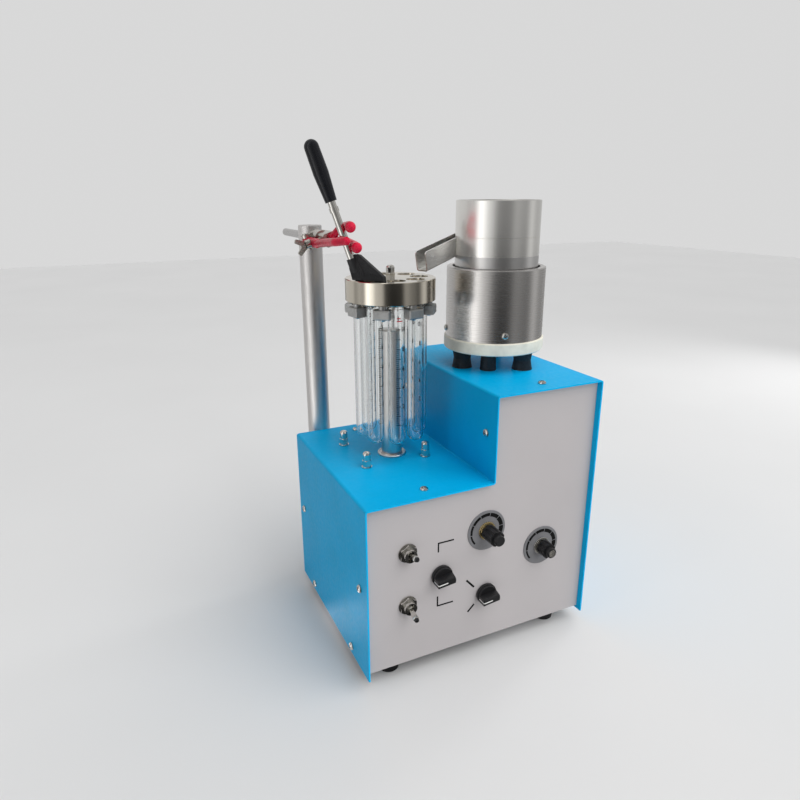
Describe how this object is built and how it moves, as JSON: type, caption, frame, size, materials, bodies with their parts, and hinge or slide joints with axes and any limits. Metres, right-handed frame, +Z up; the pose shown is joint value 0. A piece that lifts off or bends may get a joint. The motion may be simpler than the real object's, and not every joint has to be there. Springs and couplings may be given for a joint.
{
  "type": "rotary sample divider",
  "caption": "Bench top rotary sample divider with a stepped blue case, vibrating bowl feeder, spinning head with glass tubes and a clamp holding a brush",
  "frame": {"origin": "centre of the footprint box, on the floor under the rubber feet", "axes": "X runs right along the front panel, Y runs from the front panel to the back, Z is up"},
  "size_m": [0.2452, 0.318, 0.4717],
  "materials": {
    "blue_powder_coat": "gloss",
    "panel_white": "satin",
    "zinc_sheet": "satin",
    "screw_steel": "gloss",
    "stainless_brushed": "satin",
    "nickel_polish": "gloss",
    "alu_satin": "satin",
    "black_rubber": "matt",
    "black_plastic": "satin",
    "black_vinyl": "gloss",
    "red_vinyl": "gloss",
    "ivory_plastic": "gloss",
    "clear_glass": "gloss",
    "block_grey": "satin",
    "motor_grey": "satin",
    "board_green": "satin",
    "spring_steel": "satin",
    "dial_alu": "satin",
    "cast_nickel": "satin"
  },
  "bodies": {
    "housing": {"cover": "blue_powder_coat", "front_panel": "panel_white", "rear_panel": "blue_powder_coat", "base_plate": "zinc_sheet", "feet": "black_rubber", "case_screws": "screw_steel", "gear_motor": "motor_grey", "motor_studs": "screw_steel", "motor_dome_nuts": "nickel_polish", "spindle_flange": "alu_satin", "power_inlet": "black_plastic", "controller_board": "board_green", "toggle_switches": "nickel_polish", "selector_switches": "black_plastic", "potentiometers": "motor_grey", "dial_plates": "dial_alu", "control_nuts": "nickel_polish", "stand_post": "alu_satin", "post_saddles": "alu_satin", "post_screws": "screw_steel", "feeder_feet": "black_rubber", "feeder_base": "ivory_plastic", "feeder_drum": "stainless_brushed", "feeder_magnet": "motor_grey", "feeder_springs": "spring_steel", "dust_seal": "black_rubber"},
    "collector": {"output_shaft": "screw_steel", "spindle_column": "alu_satin", "head_shaft": "screw_steel", "collector_head": "nickel_polish", "head_dome_nut": "nickel_polish", "tube_blocks": "block_grey", "block_screws": "screw_steel", "test_tube_1": "clear_glass", "test_tube_2": "clear_glass", "test_tube_3": "clear_glass", "test_tube_4": "clear_glass", "test_tube_5": "clear_glass", "test_tube_6": "clear_glass", "test_tube_7": "clear_glass", "test_tube_8": "clear_glass"},
    "feed_bowl_set": {"bowl_carrier": "alu_satin", "feed_bowl": "stainless_brushed", "discharge_chute": "stainless_brushed", "hopper": "stainless_brushed"},
    "collector_toggle_set": {"collector_toggle": "nickel_polish"},
    "feeder_toggle_set": {"feeder_toggle": "nickel_polish"},
    "mode_knob_set": {"mode_knob": "black_plastic"},
    "speed_knob_set": {"speed_knob": "black_plastic"},
    "collector_rate_set": {"collector_rate_knob": "black_plastic"},
    "feed_rate_set": {"feed_rate_knob": "black_plastic"},
    "rod_set": {"clamp_rod": "alu_satin", "clamp_body": "cast_nickel", "jaw_pin": "screw_steel", "fixed_jaw": "red_vinyl", "brush_tube": "nickel_polish", "brush_grip": "black_vinyl", "brush_head": "black_plastic"},
    "moving_jaw_set": {"moving_jaw": "red_vinyl"},
    "jaw_screw_set": {"jaw_screw": "cast_nickel"}
  },
  "joints": [
    {"name": "collector_turn", "type": "hinge", "parent": "housing", "child": "collector", "pos_m": [-0.0489, -0.03735, 0.3356], "axis": [0, 0, 1], "continuous": true},
    {"name": "collector_switch", "type": "hinge", "parent": "housing", "child": "collector_toggle_set", "pos_m": [-0.079, -0.13915, 0.1307], "axis": [1, 0, 0], "range_deg": [0, 28]},
    {"name": "feeder_switch", "type": "hinge", "parent": "housing", "child": "feeder_toggle_set", "pos_m": [-0.079, -0.13915, 0.0774], "axis": [1, 0, 0], "range_deg": [-28, 0]},
    {"name": "mode_select", "type": "hinge", "parent": "housing", "child": "mode_knob_set", "pos_m": [-0.0451, -0.13535, 0.0991], "axis": [0, 1, 0], "range_deg": [-45, 45]},
    {"name": "speed_select", "type": "hinge", "parent": "housing", "child": "speed_knob_set", "pos_m": [0.0033, -0.13535, 0.066], "axis": [0, 1, 0], "range_deg": [-45, 45]},
    {"name": "collector_rate_turn", "type": "hinge", "parent": "housing", "child": "collector_rate_set", "pos_m": [0.0018, -0.13535, 0.1333], "axis": [0, 1, 0], "range_deg": [-135, 135]},
    {"name": "feed_rate_turn", "type": "hinge", "parent": "housing", "child": "feed_rate_set", "pos_m": [0.0652, -0.13535, 0.1016], "axis": [0, 1, 0], "range_deg": [-135, 135]},
    {"name": "bowl_twist", "type": "hinge", "parent": "housing", "child": "feed_bowl_set", "pos_m": [0.0613, -0.04335, 0.3723], "axis": [0, 0, 1], "range_deg": [-0.4, 0.4], "stiffness_Nm_per_rad": 30},
    {"name": "rod_slide", "type": "slide", "parent": "housing", "child": "rod_set", "axis": [0, 1, 0], "range_m": [-0.06, 0.004]},
    {"name": "jaw_open", "type": "hinge", "parent": "rod_set", "child": "moving_jaw_set", "pos_m": [-0.10054, 0.04365, 0.38433], "axis": [0.2924, 0, -0.9563], "range_deg": [0, 10]},
    {"name": "jaw_screw_travel", "type": "slide", "parent": "rod_set", "child": "jaw_screw_set", "axis": [-0.9563, 0, -0.2924], "range_m": [0, 0.0034]}
  ],
  "couplings": [
    {"joint": "jaw_open", "follows": "jaw_screw_travel", "rad_per_m": 51.333}
  ]
}
